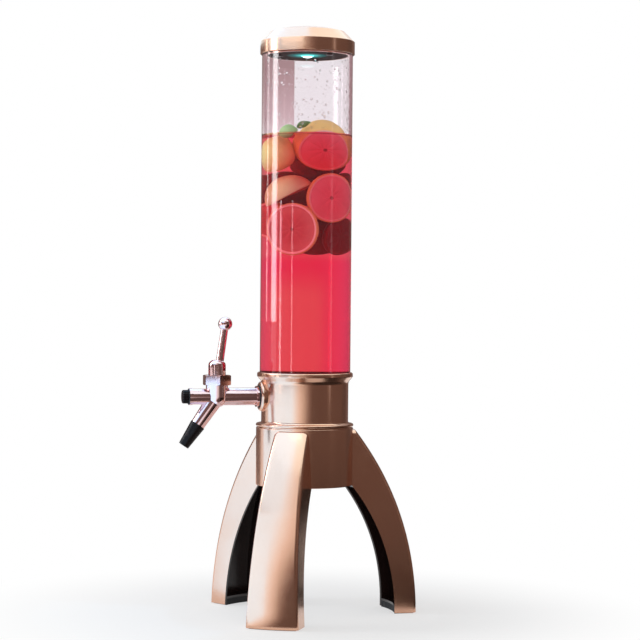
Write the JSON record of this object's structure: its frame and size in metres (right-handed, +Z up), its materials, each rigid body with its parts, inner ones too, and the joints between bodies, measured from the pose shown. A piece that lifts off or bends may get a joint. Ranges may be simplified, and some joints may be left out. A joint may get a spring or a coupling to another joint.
{
  "type": "beer tower",
  "caption": "Table-top drink tower: clear tube on a tripod of curved channel legs, with a lever tap on its collar and a lift-off lid that holds a small light.",
  "frame": {"origin": "middle of the tower's outline, on the table", "axes": "+Z up along the tube; the tap points along -Y, towards the person who pours; +X to that person's right"},
  "size_m": [0.238, 0.2654, 0.646],
  "materials": {
    "gold_paint": "metallic champagne-gold paint on moulded plastic",
    "chrome": "polished plating",
    "steel": "satin",
    "black_plastic": "satin moulded",
    "rubber": "matte",
    "clear_plastic": "clear, polished",
    "white_plastic": "smooth",
    "lens_plastic": "translucent, lit from behind",
    "lamp": "clear epoxy, lit",
    "circuit_board": "solder mask"
  },
  "bodies": {
    "tower": {"collar": "gold_paint", "hub": "gold_paint", "leg_left": "gold_paint", "leg_right": "gold_paint", "leg_rear": "gold_paint", "tap_body": "chrome", "bonnet_nut": "chrome", "lever_guide": "chrome", "leg_screws": "steel", "hub_screws": "steel", "shank_nut": "steel", "nozzle": "black_plastic", "tap_end_cap": "black_plastic", "tube_seal": "rubber", "tap_gasket_outer": "rubber", "tap_gasket_inner": "rubber", "end_cap_washer": "rubber", "ball_washer": "rubber", "foot_pad_left": "rubber", "foot_pad_right": "rubber", "foot_pad_rear": "rubber", "tube": "clear_plastic", "friction_washer": "white_plastic"},
    "tap_lever": {"lever": "chrome", "lever_knob": "chrome"},
    "tap_plunger": {"plunger": "steel", "seat_washer": "rubber", "washer_nut": "steel"},
    "lid": {"lid_shell": "gold_paint", "light_tray": "black_plastic", "tray_screws": "steel", "lens_spring": "steel", "light_board": "circuit_board", "light_led": "lamp", "light_switch": "black_plastic", "coin_cells": "steel", "battery_clip": "steel"},
    "light_button": {"light_lens": "lens_plastic"}
  },
  "joints": [
    {"name": "lid_lift", "type": "slide", "parent": "tower", "child": "lid", "axis": [0, 0, 1], "range_m": [0, 0.06]},
    {"name": "light_press", "type": "slide", "parent": "lid", "child": "light_button", "axis": [0, 0, 1], "range_m": [0, 0.0015], "stiffness_N_per_m": 300, "springref_m": -0.003, "deforming": ["lens_spring"]},
    {"name": "lever_swing", "type": "hinge", "parent": "tower", "child": "tap_lever", "pos_m": [0, -0.0913, 0.2565], "axis": [1, 0, 0], "range_deg": [0, 38]},
    {"name": "plunger_travel", "type": "slide", "parent": "tower", "child": "tap_plunger", "axis": [0, 1, 0], "range_m": [0, 0.01097]}
  ],
  "couplings": [
    {"joint": "plunger_travel", "follows": "lever_swing", "m_per_rad": 0.016383}
  ]
}
